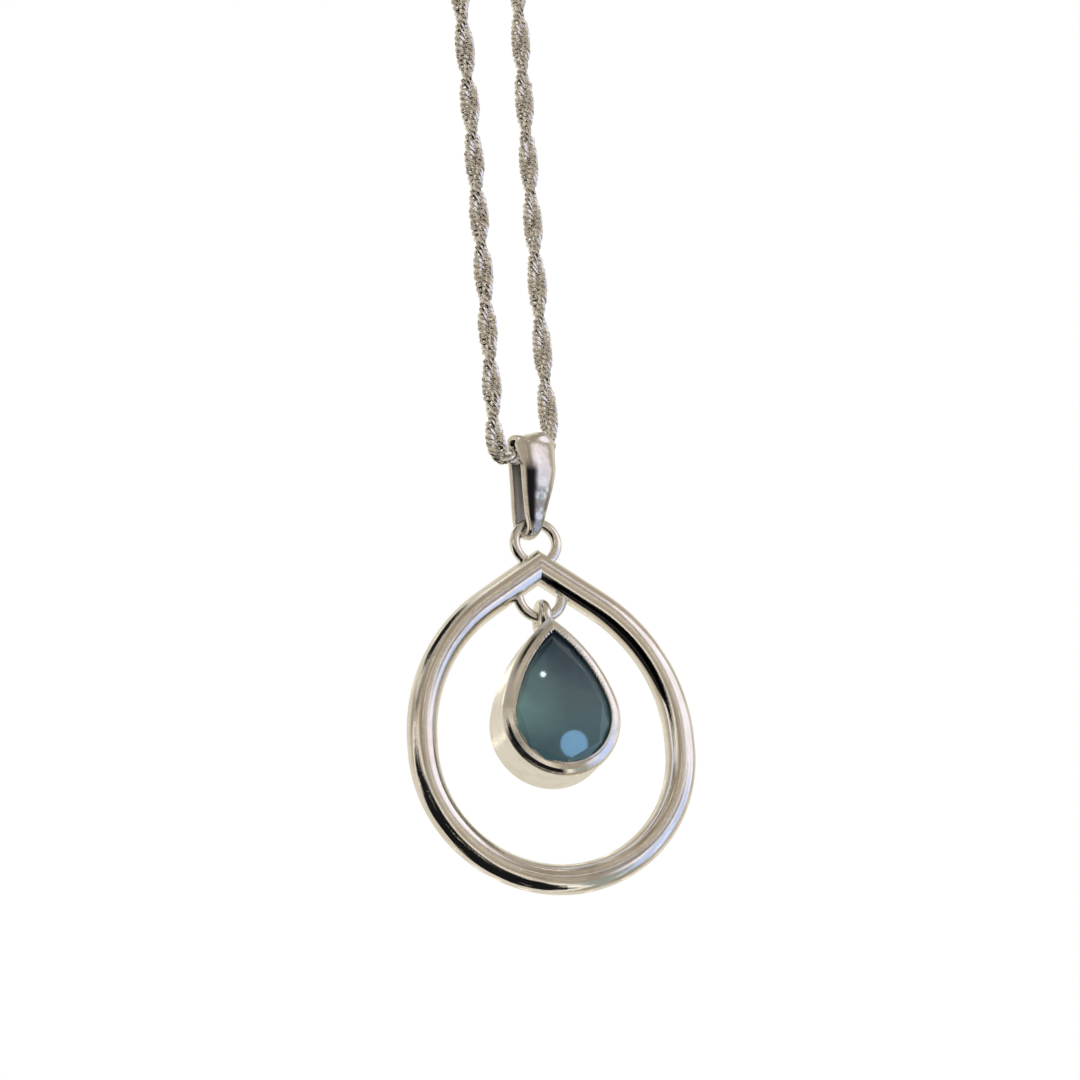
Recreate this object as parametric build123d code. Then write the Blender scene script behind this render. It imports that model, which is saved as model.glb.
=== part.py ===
"""Pendant necklace: a bezel-set pear drop inside a teardrop hoop, on a fine twisted chain.

The necklace hangs from a hook at the origin. +Z is up and -Y is the pendant's front, in mm.
The chain, its folded hank and the bail stand turned to the pendant by BAIL_YAW about Z, so they
are drawn in turned coordinates: u along the bail's bore, n out of its front leaf, z up.
"""

from build123d import *
import os
from math import atan2, cos, pi, radians, sin, sqrt, tan

# Chain
CHAIN_D = 1.6
BAIL_YAW = 26.0
HANK_RUN = 32.0
FOLD_RADIUS = 3 * CHAIN_D
HANK_DEPTH = 3.5
TIE_WIDTH = 4.0
TIE_THICK = 0.4
TIE_Z = -16.0

# Hoop: round tube, mitred at the apex
APEX_Z = -92.0
HOOP_WIDTH = 24.0
HOOP_HEIGHT = 28.9
TUBE_D = 2.45
APEX_HALF_ANGLE = radians(55.6)
LEG_STRAIGHT = 5.7

# Rings soldered to the hoop: (wire diameter, centreline radius, height of the centre)
TOP_RING = (0.88, 1.76, APEX_Z + 0.58)
HANGER_RING = (0.92, 1.84, APEX_Z - 3.95)

# Bail: a loop of strip, wide and round over the chain, narrow and closed over the top ring
BAIL_STRIP = 0.45
BAIL_TOP_R = 1.3
BAIL_TIP_R = 1.35
BAIL_TIP_STRAIGHT = 1.6
BAIL_BULGE = 0.32
BAIL_HALF_WIDTH = 1.55
BAIL_MIDDLE_HALF_WIDTH = 1.3
BAIL_TIP_HALF_WIDTH = 0.45
BAIL_SHOULDER_DROP = 2.2
BAIL_DOME_R = 4.0
SADDLE_R = 2.4
SADDLE_DEPTH = 0.18
BAIL_TIP_Z = APEX_Z + 2.19
BAIL_X = -0.05
BAIL_TOP_Z = APEX_Z + 8.77
CHAIN_IN_BAIL_Z = BAIL_TOP_Z + 0.03
CHAIN_SLIP = -0.4

# Drop: pear stone in a rub-over bezel
STONE_R = 4.15
STONE_ARC_R = 12.4
STONE_TURN = radians(15)
BEZEL_WALL = 0.82
BEZEL_LIP = 0.18
DROP_LEAN = 2.2
WALL_BACK_Y = 1.9
WALL_FRONT_Y = -1.9
LIP_Y = -2.8
SHOULDER_STEPS = 5
GIRDLE_Y = -2.35
GIRDLE_THICK = 0.25
TABLE_Y = -3.45
CULET_Y = 1.55
TABLE_SHARE = 0.6
STONE_SIDES = 24
SEAT_WIDTH = 1.0
SEAT_FRONT_Y = -1.75
SEAT_BACK_Y = -0.9
LOOP_WIRE = 1.0
LOOP_R = 1.14
LOOP_SLACK = 0.04
POINT_GAP = 0.1

# Chain ends: last links, jump ring, spring-ring clasp and end ring
TAIL_END_Z = -28.0
LINK_WIRE, LINK_R = 0.3, 0.58
JUMP_WIRE, JUMP_R = 0.5, 1.1
END_RING_WIRE, END_RING_R = 0.5, 1.9
EYELET_WIRE, EYELET_R = 0.5, 0.82
CLASP_R = 2.3
CLASP_TUBE_R = 0.7
CLASP_BORE_R = 0.46
BOLT_R = 0.4
CLASP_GAP = (20.0, 75.0)
BOLT_SPAN = (-60.0, 82.0)
SPRING_SPAN = (-200.0, -61.0)
SPRING_R, SPRING_BORE_R = 0.38, 0.26
SLOT_SPAN = (-80.0, -2.0)
SLOT_CUTS, SLOT_STEP = 4, 0.22
KNOB_ANGLE = -10.0
KNOB_STEM_R, KNOB_R, KNOB_REACH = 0.18, 0.38, 1.25
EYELET_SUNK = 0.3
RUN_GAP = 0.04

# Each strand's name, and the way it is turned about Z
STRANDS = (("right", 1), ("left", -1))

YAW = radians(BAIL_YAW)
U = Vector(cos(YAW), sin(YAW), 0)
N = Vector(sin(YAW), -cos(YAW), 0)

# Where one strand runs, as (u, n, z): from the middle of the bail up to the hank. Heights count
# from the chain's axis in the bail. The other strand is this one turned half a turn about Z.
LEG_ROUTE = [
    (0.0, 0.0, 0.0), (0.9, 0.0, 0.0), (2.0, -0.02, 0.0), (2.75, -0.04, 0.42),
    (3.15, -0.06, 1.14), (3.15, -0.08, 2.5), (3.1, -0.12, 5.0), (3.16, -0.2, 10.0),
    (3.38, -0.4, 20.0), (3.95, -0.8, 38.0), (4.75, -0.95, 54.0),
]
# Over the top of the hank and down beside it, as (u, n, z) in the same turned coordinates.
TAIL_ROUTE = [
    (1.9, -2.6, 4.5), (-1.2, -3.6, 4.9), (-4.0, -4.5, 3.2), (-5.3, -4.9, -0.8),
    (-5.25, -4.9, -5.5), (-5.0, -4.9, -14.0), (-4.9, -4.9, TAIL_END_Z),
]


def turned(u, n, z):
    """The point at turned coordinates u, n and z."""
    return U * u + N * n + Vector(0, 0, z)


def biggest(shape):
    """The largest solid left after a cut."""
    return shape.solids().sort_by(SortBy.VOLUME)[-1]


def wire_ring(centre, axis, radius, wire):
    """A ring of round wire about an axis."""
    return Plane(origin=centre, z_dir=axis) * Torus(radius, wire / 2)


def cord_tube(points):
    """A round tube along straight runs joined by the widest tangent arcs; returns it and its radii."""
    runs = [b - a for a, b in zip(points, points[1:])]
    radii = []
    for before, after in zip(runs, runs[1:]):
        half_turn = radians(before.get_angle(after)) / 2
        radii.append(0.45 * min(before.length, after.length) / tan(half_turn))
    path = FilletPolyline(*points, radius=radii)
    start = Plane(origin=path @ 0, z_dir=path % 0)
    return sweep(start * Circle(CHAIN_D / 2), path=path), path, radii


def report_tube(name, tube, path, radii):
    """Print a tube's tightest arcs and how its volume compares with its section times its length."""
    ideal = pi * CHAIN_D**2 / 4 * path.length
    rounded = [round(r, 2) for r in radii]
    print(f"{name}: length {path.length:.2f}, volume ratio {tube.volume / ideal:.4f}, radii {rounded}")


def hank_block(side, radius):
    """A long round-ended block around the hook, on one side of the middle plane."""
    plane = Plane(origin=(0, 0, -HANK_RUN / 2), x_dir=(0, 0, 1), z_dir=N * -side)
    return extrude(plane * SlotCenterToCenter(HANK_RUN, 2 * radius), HANK_DEPTH)


def hank(side):
    """One strand's folded turns: a racetrack ring around the hook."""
    return hank_block(side, FOLD_RADIUS + CHAIN_D / 2) - hank_block(side, FOLD_RADIUS - CHAIN_D / 2)


def hank_tie():
    """A flat band around both strands of the hank, halfway down."""
    plane = Plane(origin=(0, 0, TIE_Z), x_dir=U, z_dir=(0, 0, 1))
    across, deep = 2 * (FOLD_RADIUS + CHAIN_D / 2), 2 * HANK_DEPTH
    band = Rectangle(across + 2 * TIE_THICK, deep + 2 * TIE_THICK) - Rectangle(across, deep)
    return extrude(plane * band, TIE_WIDTH / 2, both=True)


def leg_points(side):
    """A strand's leg: it starts in the bail, which sits off the hook's line, and ends under the hook."""
    top = LEG_ROUTE[-1][2]
    shift = Vector(BAIL_X, 0, 0) + U * CHAIN_SLIP
    return [
        turned(side * u, side * n, CHAIN_IN_BAIL_Z + z) + shift * (1 - z / top)
        for u, n, z in LEG_ROUTE
    ]


def tail_points(side):
    """A strand's tail: over the hank's top and down beside it."""
    return [turned(side * u, side * n, z) for u, n, z in TAIL_ROUTE]


def bail_profile(strip):
    """The bail seen along its bore, shrunk by strip: round at both ends, bulging to the front."""
    height = BAIL_TOP_Z - BAIL_TIP_Z
    circles = (
        Pos(0, height) * Circle(BAIL_TOP_R - strip)
        + Circle(BAIL_TIP_R - strip)
        + Pos(BAIL_BULGE, 0.72 * height) * Circle(BAIL_TOP_R - strip)
    )
    plane = Plane(origin=(BAIL_X, 0, BAIL_TIP_Z), x_dir=N, z_dir=-U)
    return plane * make_hull(circles.edges())


def bail_block(strip):
    """The profile drawn out along the bore, its front rounded from side to side."""
    front = BAIL_TOP_R + BAIL_BULGE
    axis = turned(0, front - BAIL_DOME_R, BAIL_TIP_Z - 5) + Vector(BAIL_X, 0, 0)
    dome = Plane(origin=axis, z_dir=(0, 0, 1)) * Cylinder(
        BAIL_DOME_R - strip, 30, align=(Align.CENTER, Align.CENTER, Align.MIN)
    )
    return extrude(bail_profile(strip), 2 * BAIL_HALF_WIDTH, both=True) & dome


def bail():
    """A loop of strip that narrows towards the tip, with a shallow saddle over the top."""
    top, tip = BAIL_TOP_R + BAIL_TOP_Z - BAIL_TIP_Z, -BAIL_TIP_R
    foot_z = tip + BAIL_TIP_STRAIGHT
    shoulder_z = top - BAIL_SHOULDER_DROP
    right = ThreePointArc(
        (BAIL_HALF_WIDTH, shoulder_z),
        (BAIL_MIDDLE_HALF_WIDTH, (foot_z + shoulder_z) / 2),
        (BAIL_TIP_HALF_WIDTH, foot_z),
    )
    edge = Line((BAIL_TIP_HALF_WIDTH, foot_z), (BAIL_TIP_HALF_WIDTH, tip - 1))
    foot = Line((BAIL_TIP_HALF_WIDTH, tip - 1), (0, tip - 1))
    middle = Line((0, tip - 1), (0, top + 1))
    head = Line((0, top + 1), (BAIL_HALF_WIDTH, top + 1))
    side = Line((BAIL_HALF_WIDTH, top + 1), (BAIL_HALF_WIDTH, shoulder_z))
    half = make_face(Curve() + [right, edge, foot, middle, head, side])
    outline = half + mirror(half, Plane.YZ)
    plane = Plane(origin=(BAIL_X, 0, BAIL_TIP_Z), x_dir=U, z_dir=N)
    block = (bail_block(0) - bail_block(BAIL_STRIP)) & extrude(plane * outline, 6, both=True)
    saddle = Vector(BAIL_X, 0, BAIL_TOP_Z + BAIL_TOP_R + SADDLE_R - SADDLE_DEPTH)
    return block - Plane(origin=saddle, z_dir=N) * Cylinder(SADDLE_R, 8)


def hoop():
    """Round tube bent to a teardrop: straight from the mitre, then ever rounder to the bottom."""
    r = TUBE_D / 2
    half = HOOP_WIDTH / 2 - r
    across, down = sin(APEX_HALF_ANGLE), cos(APEX_HALF_ANGLE)
    start = Vector(0, 0, APEX_Z - r / across)
    leg_end = start + Vector(across, 0, -down) * LEG_STRAIGHT
    side_r = (half - leg_end.X) / (1 - down)
    side_z = leg_end.Z - side_r * across
    bottom_z = APEX_Z - HOOP_HEIGHT + r
    mid = APEX_HALF_ANGLE / 2
    path = Curve() + [
        Line(start - Vector(across, 0, -down) * TUBE_D, leg_end),
        ThreePointArc(
            leg_end,
            (half - side_r * (1 - cos(mid)), 0, side_z + side_r * sin(mid)),
            (half, 0, side_z),
        ),
        Line((half, 0, side_z), (half, 0, bottom_z + half)),
        ThreePointArc(
            (half, 0, bottom_z + half),
            (half * sin(pi / 4), 0, bottom_z + half * (1 - cos(pi / 4))),
            (0, 0, bottom_z),
        ),
    ]
    wire = Wire(path.edges())
    tube = sweep(Plane(origin=wire @ 0, z_dir=wire % 0) * Circle(r), path=wire)
    right_side = Pos(0, 0, APEX_Z) * Box(60, 60, 120, align=(Align.MIN, Align.CENTER, Align.CENTER))
    right = tube & right_side
    return right + mirror(right, Plane.YZ)


def hoop_ring(size, hoop_solid):
    """A ring of wire soldered across the mitre: only what stands clear of the tube."""
    wire, radius, height = size
    return biggest(wire_ring((0, 0, height), (0, 1, 0), radius, wire) - hoop_solid)


def drop_place():
    """The drop's own plane: x right, y up, z to the front, with the origin at the stone's centre."""
    wire, radius, height = HANGER_RING
    pivot = Location((0, 0, height - radius))
    below = wire / 2 + POINT_GAP + pear_tip(BEZEL_WALL)
    lean = pivot * Location((0, 0, 0), (0, -DROP_LEAN, 0)) * Location((0, 0, -below))
    return Plane(lean * Location(Plane.XZ))


def pear_arc_centre():
    """The centre of the pear's right-hand side arc."""
    reach = STONE_ARC_R - STONE_R
    return -reach * cos(STONE_TURN), -reach * sin(STONE_TURN)


def pear_tip(offset):
    """How far the pear's point is from the centre of its round end, offset outwards."""
    x, y = pear_arc_centre()
    return y + sqrt((STONE_ARC_R + offset) ** 2 - x**2)


def pear(offset):
    """The pear outline as a face: a round end and two side arcs that meet in a point."""
    r = STONE_R + offset
    x, y = pear_arc_centre()
    tip = pear_tip(offset)
    shoulder = (r * cos(STONE_TURN), r * sin(STONE_TURN))
    tip_angle = atan2(tip - y, -x)
    mid_angle = (STONE_TURN + tip_angle) / 2
    side_r = STONE_ARC_R + offset
    mid = (x + side_r * cos(mid_angle), y + side_r * sin(mid_angle))
    mirrored = [(-p[0], p[1]) for p in (shoulder, mid)]
    return make_face(Curve() + [
        ThreePointArc(shoulder, mid, (0, tip)),
        ThreePointArc((0, tip), mirrored[1], mirrored[0]),
        ThreePointArc(mirrored[0], (0, -r), shoulder),
    ])


def pear_points(share):
    """The stone's outline as a many-sided polygon, shrunk towards its centre."""
    x, y = pear_arc_centre()
    tip_angle = atan2(pear_tip(0) - y, -x)
    side = STONE_SIDES // 4 - 1
    half = [(STONE_R * sin(a), -STONE_R * cos(a)) for a in
            [(pi / 2 + STONE_TURN) * k / (side + 1) for k in range(side + 2)]]
    half += [(x + STONE_ARC_R * cos(a), y + STONE_ARC_R * sin(a)) for a in
             [STONE_TURN + (tip_angle - STONE_TURN) * k / (side + 1) for k in range(1, side + 2)]]
    rest = [(-px, py) for px, py in half[-2:0:-1]]
    middle = (pear_tip(0) - STONE_R) / 2
    return [(px * share, middle + (py - middle) * share) for px, py in half + rest]


def slab(plane, front_y, back_y, face):
    """A face drawn out between two depths, each counted from the hoop's plane."""
    return extrude(plane.offset(-back_y) * face, back_y - front_y)


def stone(plane):
    """Faceted pear: a table and crown above the girdle, a keeled pavilion below it."""
    def outline(share, y):
        return plane.offset(-y) * make_face(Polyline(*pear_points(share), close=True))

    girdle_back = GIRDLE_Y + GIRDLE_THICK
    crown = loft([outline(1, GIRDLE_Y), outline(TABLE_SHARE, TABLE_Y)], ruled=True)
    pavilion = loft([outline(1, girdle_back), outline(0.06, CULET_Y)], ruled=True)
    girdle = loft([outline(1, GIRDLE_Y), outline(1, girdle_back)], ruled=True)
    return crown + girdle + pavilion


def bezel(plane, stone_solid):
    """The wall of the cup, its shoulder rolled over the stone's edge."""
    wall = slab(plane, WALL_FRONT_Y, WALL_BACK_Y, pear(BEZEL_WALL))
    shoulder = []
    for k in range(SHOULDER_STEPS + 1):
        a = pi / 2 * k / SHOULDER_STEPS
        offset = -BEZEL_LIP + (BEZEL_WALL + BEZEL_LIP) * cos(a) ** 1.1
        y = WALL_FRONT_Y + (LIP_Y - WALL_FRONT_Y) * sin(a)
        shoulder.append(plane.offset(-y) * pear(offset))
    cup = wall + loft(shoulder, ruled=True)
    cup -= slab(plane, GIRDLE_Y, WALL_BACK_Y + 1, pear(0.02))
    return cup - slab(plane, LIP_Y - 1, GIRDLE_Y, pear(-BEZEL_LIP - 0.02)) - stone_solid


def bezel_seat(plane, stone_solid):
    """The ledge inside the cup that the stone's pavilion rests on."""
    ring = pear(0.02) - pear(-SEAT_WIDTH)
    return biggest(slab(plane, SEAT_FRONT_Y, SEAT_BACK_Y, ring) - stone_solid)


def drop_loop(bezel_solid):
    """The loop of wire on the cup's point, around the hoop's lower ring."""
    wire, radius, height = HANGER_RING
    rest = wire / 2 + LOOP_SLACK - (LOOP_R - LOOP_WIRE / 2)
    ring = wire_ring((0, 0, height - radius + rest), (1, 0, 0), LOOP_R, LOOP_WIRE)
    return biggest(ring - bezel_solid)


def arc_tube(centre, angles, radius, bore=0.0, reach=CLASP_R):
    """Part of a ring around the n direction, between two angles up from the u direction."""
    low, high = (radians(a) for a in angles)

    def at(angle):
        return centre + U * (reach * cos(angle)) + Vector(0, 0, reach * sin(angle))

    path = ThreePointArc(at(low), at((low + high) / 2), at(high))
    face = Circle(radius) - Circle(bore) if bore else Circle(radius)
    return sweep(Plane(origin=path @ 0, z_dir=path % 0) * face, path=path)


def write(name, shape):
    export_step(shape, f"parts/{name}.step")


def write_chain():
    """Both strands, each as its straight leg, its turns in the hank and its hanging tail."""
    write("hank_tie", hank_tie())
    for name, side in STRANDS:
        write(f"chain_{name}_hank", hank(side))
        block = hank_block(side, FOLD_RADIUS + CHAIN_D / 2)
        for part, points in (("leg", leg_points(side)), ("tail", tail_points(side))):
            tube, path, radii = cord_tube(points)
            report_tube(f"chain_{name}_{part}", tube, path, radii)
            write(f"chain_{name}_{part}", biggest(tube - block))


def write_pendant():
    """The bail, the hoop with its two soldered rings, and the drop."""
    frame = hoop()
    place = drop_place()
    gem = stone(place)
    cup = bezel(place, gem)
    write("bail", bail())
    write("hoop", frame)
    write("top_ring", hoop_ring(TOP_RING, frame))
    write("drop_hanger_ring", hoop_ring(HANGER_RING, frame))
    write("stone", gem)
    write("bezel_cup", cup)
    write("bezel_seat", bezel_seat(place, gem))
    write("drop_loop", drop_loop(cup))


def write_ends():
    """The last links, the end ring on the right strand and the clasp on the left one."""
    u, n, _ = TAIL_ROUTE[-1]
    link_z = TAIL_END_Z - LINK_R + LINK_WIRE / 2 - RUN_GAP
    ring_top = link_z - LINK_R + (LINK_WIRE + JUMP_WIRE) / 2 + RUN_GAP
    for (name, side), axis in zip(STRANDS, (U, N)):
        tube, _, _ = cord_tube(tail_points(side))
        link = wire_ring(turned(side * u, side * n, link_z), axis, LINK_R, LINK_WIRE)
        write(f"chain_{name}_end_link", biggest(link - tube))
    write("end_ring", wire_ring(turned(u, n, ring_top - END_RING_R), N, END_RING_R, END_RING_WIRE))
    write("clasp_jump_ring", wire_ring(turned(-u, -n, ring_top - JUMP_R), U, JUMP_R, JUMP_WIRE))
    write_clasp(-u, -n, ring_top - 2 * JUMP_R)


def write_clasp(u, n, jump_bottom):
    """Spring-ring clasp: a hollow ring with a gap, its eyelet, and the sprung bolt inside."""
    eyelet_z = jump_bottom + (JUMP_WIRE + EYELET_WIRE) / 2 + RUN_GAP - EYELET_R
    reach = EYELET_R + EYELET_WIRE / 2 + CLASP_R + CLASP_TUBE_R
    centre = turned(u, n, eyelet_z - reach + EYELET_SUNK)
    shell = arc_tube(centre, (CLASP_GAP[1], CLASP_GAP[0] + 360), CLASP_TUBE_R, CLASP_BORE_R)
    for step in range(SLOT_CUTS):
        shell -= arc_tube(centre, SLOT_SPAN, KNOB_STEM_R + RUN_GAP, reach=CLASP_R + step * SLOT_STEP)
    write("clasp_ring", biggest(shell))
    eyelet = wire_ring(turned(u, n, eyelet_z), N, EYELET_R, EYELET_WIRE)
    write("clasp_eyelet", biggest(eyelet - arc_tube(centre, (CLASP_GAP[1], 180), CLASP_TUBE_R)))
    write("clasp_spring", arc_tube(centre, SPRING_SPAN, SPRING_R, SPRING_BORE_R))
    write("clasp_bolt", arc_tube(centre, BOLT_SPAN, BOLT_R) + clasp_knob(centre))


def clasp_knob(centre):
    """The thumb knob on its short stem, through the slot."""
    angle = radians(KNOB_ANGLE)
    out = U * cos(angle) + Vector(0, 0, sin(angle))
    stem = Plane(origin=centre + out * CLASP_R, z_dir=out) * Cylinder(
        KNOB_STEM_R, KNOB_REACH, align=(Align.CENTER, Align.CENTER, Align.MIN)
    )
    return stem + Pos(*(centre + out * (CLASP_R + KNOB_REACH))) * Sphere(KNOB_R)


os.makedirs("parts", exist_ok=True)
write_chain()
write_pendant()
write_ends()
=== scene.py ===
"""Looks for the pendant necklace: real chain links, a faceted stone, polished silver and soft light."""

from math import atan2, cos, pi, radians, sin, sqrt

import bmesh
import bpy
import numpy as np
from mathutils import Matrix, Vector


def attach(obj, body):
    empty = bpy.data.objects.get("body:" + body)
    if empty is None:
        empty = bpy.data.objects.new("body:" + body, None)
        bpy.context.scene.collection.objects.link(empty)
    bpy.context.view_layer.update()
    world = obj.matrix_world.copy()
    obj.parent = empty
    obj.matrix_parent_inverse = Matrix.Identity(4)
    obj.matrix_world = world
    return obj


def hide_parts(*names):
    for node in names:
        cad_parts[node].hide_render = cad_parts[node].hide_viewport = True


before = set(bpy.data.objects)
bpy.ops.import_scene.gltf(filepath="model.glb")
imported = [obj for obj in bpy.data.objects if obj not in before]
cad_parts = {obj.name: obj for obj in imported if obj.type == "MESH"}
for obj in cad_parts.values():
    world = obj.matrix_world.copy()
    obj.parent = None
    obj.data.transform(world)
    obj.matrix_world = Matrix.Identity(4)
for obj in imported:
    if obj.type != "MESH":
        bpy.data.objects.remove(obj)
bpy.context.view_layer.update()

MM = 0.001

# The camera, as the photographer stood: below the pendant, a little to its left, phone tilted
LOOK_AT = Vector((0.4, 0.0, -91.1)) * MM
CAMERA_AZIMUTH, CAMERA_ELEVATION, CAMERA_ROLL = radians(-16.6), radians(-18.0), radians(-4.8)
CAMERA_DISTANCE = 300 * MM
SENSOR = 36.0
VIEW_WIDTH = 88.7 * MM

# The chain, in the coordinates of its route: u along the bail's bore, n to the front, z up
BAIL_YAW = radians(26)
BAIL_X = -0.05 * MM
CHAIN_IN_BAIL = -83.2 * MM
CHAIN_SLIP = -0.4 * MM
HANK_RUN = 32 * MM
FOLD_R = 4.97 * MM
U = Vector((cos(BAIL_YAW), sin(BAIL_YAW), 0))
N = Vector((sin(BAIL_YAW), -cos(BAIL_YAW), 0))

# One strand's legs and tail as (u, n, z), in mm; the leg's heights count from the bail's bore
LEG_STARTS = {
    1: [(0.0, 0.0, 0.0), (0.9, 0.0, 0.0), (2.0, -0.02, 0.0), (2.75, -0.04, 0.42), (3.15, -0.06, 1.14)],
    -1: [(0.0, 0.0, -0.15), (0.9, 0.0, -0.7), (1.9, -0.02, -1.35), (2.75, -0.04, -0.95), (3.2, -0.06, 0.3)],
}
LEG_ROUTE = [
    (3.15, -0.08, 2.5), (3.1, -0.12, 5.0), (3.16, -0.2, 10.0),
    (3.38, -0.4, 20.0), (3.95, -0.8, 38.0), (4.75, -0.95, 54.0),
]
TAIL_ROUTE = [
    (1.9, -2.6, 4.5), (-1.2, -3.6, 4.9), (-4.0, -4.5, 3.2), (-5.3, -4.9, -0.8),
    (-5.25, -4.9, -5.5), (-5.0, -4.9, -14.0), (-4.9, -4.9, -28.0),
]

# The hank's runs as heights in mm, where it goes over to the tail, and how deep it starts and ends
HANK_HALF = FOLD_R - 0.12 * MM
HANK_HEIGHTS, HANK_LOW = (-20.0, -11.0, -3.0), -29.0
HANK_OUT = (4.6 * MM, 1.4 * MM)
HANK_DEPTHS = (-0.95 * MM, -2.55 * MM)

# Chain links: flattened and cut bright, in a ribbon that twists along its length
LINK_PITCH = 0.42 * MM
LINK_LONG, LINK_WIDE, LINK_CROSS = 0.56 * MM, 0.69 * MM, -0.21 * MM
LINK_WIRE = 0.165 * MM
LINK_CUT = 0.3 * MM
LINK_STEPS, WIRE_STEPS = 18, 6
LINK_TILT = 0.09
HEADING_REACH = 0.35 * LINK_LONG

# Each strand's name, side, length of half a twist, and the twist it starts with
STRANDS = (("right", 1, 5.8 * MM, 0.5), ("left", -1, 5.07 * MM, 1.55))

# The bail's strip round its loop: round forms as (n, height above the hoop's point, radius) in mm
BAIL_FORMS = ((0.0, 8.77, 1.3), (0.32, 6.93, 1.3), (-0.1, 2.05, 1.21))
BAIL_STATIONS, BAIL_ACROSS = 180, 20
# Height above the hoop's point, half width there and shift of the strip's middle along the bore, in mm
BAIL_WIDTHS = (
    (0.84, 0.5, -0.55), (1.6, 0.66, -0.5), (2.57, 0.95, -0.42), (3.8, 1.22, -0.23),
    (5.15, 1.52, 0.02), (6.5, 1.74, 0.2), (7.9, 1.88, 0.3), (8.8, 2.02, 0.42), (10.1, 2.2, 0.6),
)
BAIL_STRIP, BAIL_EDGE_R = 0.43, 0.08
BAIL_CORNER = (pi / 6, pi / 3, pi / 2)
BAIL_SMOOTHING = 12
# The crown's drop at the edges of a strip of this half width, in mm, and how much flatter it is on top
BAIL_CROWN, BAIL_CROWN_HALF, BAIL_TOP_FLATTER = 0.52, 1.6, 0.6
# The top's crest and groove, as (place and spread in half widths, height in mm)
BAIL_CREST, BAIL_GROOVE = (0.3, 0.45, 0.42), (-0.62, 0.22, -0.14)
# How far up the strip has to face for the top to begin, and to be complete
BAIL_TOP_FROM, BAIL_TOP_FULL = 0.35, 0.85
# The painted dark reflection stripe's strength on the front, by place across in half widths, and by height
# in mm
BAIL_PAINTED_STRIPE_ACROSS = ((-0.5, 1.0), (-0.25, 0.0))
BAIL_PAINTED_STRIPE_HEIGHTS = ((1.6, 0), (2.2, 1), (6.4, 1), (7.6, 0))
# How much painted reflection mottles the rest of the front, by height in mm
BAIL_PAINTED_BLOTS = ((1.0, 0.3), (2.2, 0.75), (4.8, 0.75), (5.6, 0.3), (7.2, 0.25), (8.6, 0.1))

# The stone, in the drop's own plane: x right, y up, z to the front, round end centred on zero
APEX_Z = -92.0 * MM
DROP_PIVOT_Z = APEX_Z - 5.79 * MM
POINT_BELOW_PIVOT = 0.56 * MM
DROP_LEAN = radians(2.2)
STONE_R = 4.15 * MM
STONE_ARC_R = 12.4 * MM
STONE_TURN = radians(15)
BEZEL_WALL = 0.82 * MM
GIRDLE_FRONT, GIRDLE_BACK = 2.35 * MM, 2.1 * MM
TABLE_FRONT = 3.4 * MM
CULET_BACK = 1.5 * MM
STONE_MAINS, STONE_EACH = 8, 4
TABLE_SHARE = 0.86
TABLE_SLIDE = (0.35 * MM, 0.6 * MM)
STAR_SHARE, STAR_HEIGHT, STAR_SLIDE = 0.93, 0.6, 0.6
LOWER_SHARE, LOWER_HEIGHT = 0.55, 0.1

# The bezel's burnished inner edge, with tool marks that fade out towards the pear's round end
RIM_MARKS, RIM_STEPS, RIM_SIDES = 96, 5, 8
RIM_R, RIM_OFFSET, RIM_FRONT = 0.15 * MM, -0.12 * MM, 2.84 * MM
# Its thickness between marks, the marks' range, and what is left of them low down, all as shares
RIM_PLAIN, RIM_MARK_RANGE, RIM_LOW = 0.7, (0.2, 1.0), 0.15

# The hank's ribbon: the middle and half widths of its squared loop, its width, and the cloth's thickness
TIE_Z = -16.0 * MM
TIE_HALF_U, TIE_HALF_N, TIE_SQUARE = 5.85 * MM, 3.72 * MM, 5
TIE_WIDTH, TIE_CLOTH = 3.6 * MM, 0.18 * MM
# Its turns and the angle that they start at, how far its end lies outside its start, and how it tilts
TIE_TURNS, TIE_START, TIE_LIFT = 1.18, 0.6, 0.25 * MM
TIE_TILT, TIE_TILT_START = 0.35 * MM, 0.4
# Its ripples' depth, their number round and across, and the rise of its middle over its edges
TIE_RIPPLE, TIE_WAVES_ROUND, TIE_WAVES_ACROSS, TIE_CURL = 0.05 * MM, 17, 9, 0.1 * MM
TIE_STEPS, TIE_ROWS = 96, 8

# Metals by material slot: name, colour, tarnish, roughness, scratches and the grain's scale
SILVER, WARM = (0.95, 0.93, 0.89), (0.86, 0.82, 0.75)
METALS = {
    "chain_silver": ("silver_chain", SILVER, WARM, 0.1, 0.5, 1500.0),
    "bail_silver": ("silver_bail", SILVER, WARM, 0.07, 0.35, 900.0),
    "hoop_silver": ("silver_hoop", SILVER, WARM, 0.05, 0.3, 420.0),
    "ring_silver": ("silver_ring", SILVER, WARM, 0.06, 0.3, 900.0),
    "bezel_silver": ("silver_bezel", SILVER, WARM, 0.07, 0.35, 700.0),
    "clasp_silver": ("silver_clasp", SILVER, WARM, 0.08, 0.35, 900.0),
    "spring_steel": ("steel_spring", (0.6, 0.6, 0.62), (0.45, 0.44, 0.44), 0.2, 0.4, 900.0),
}

# The CAD nodes that stay, by the slot each wears
WORN_BY = {
    "hoop_silver": ("hoop",),
    "ring_silver": ("top_ring", "drop_hanger_ring", "drop_loop"),
    "bezel_silver": ("bezel_cup", "bezel_seat"),
    "chain_silver": ("chain_left_end_link", "chain_right_end_link"),
    "clasp_silver": ("clasp_jump_ring", "clasp_ring", "clasp_eyelet", "clasp_bolt", "end_ring"),
    "spring_steel": ("clasp_spring",),
}
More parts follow.
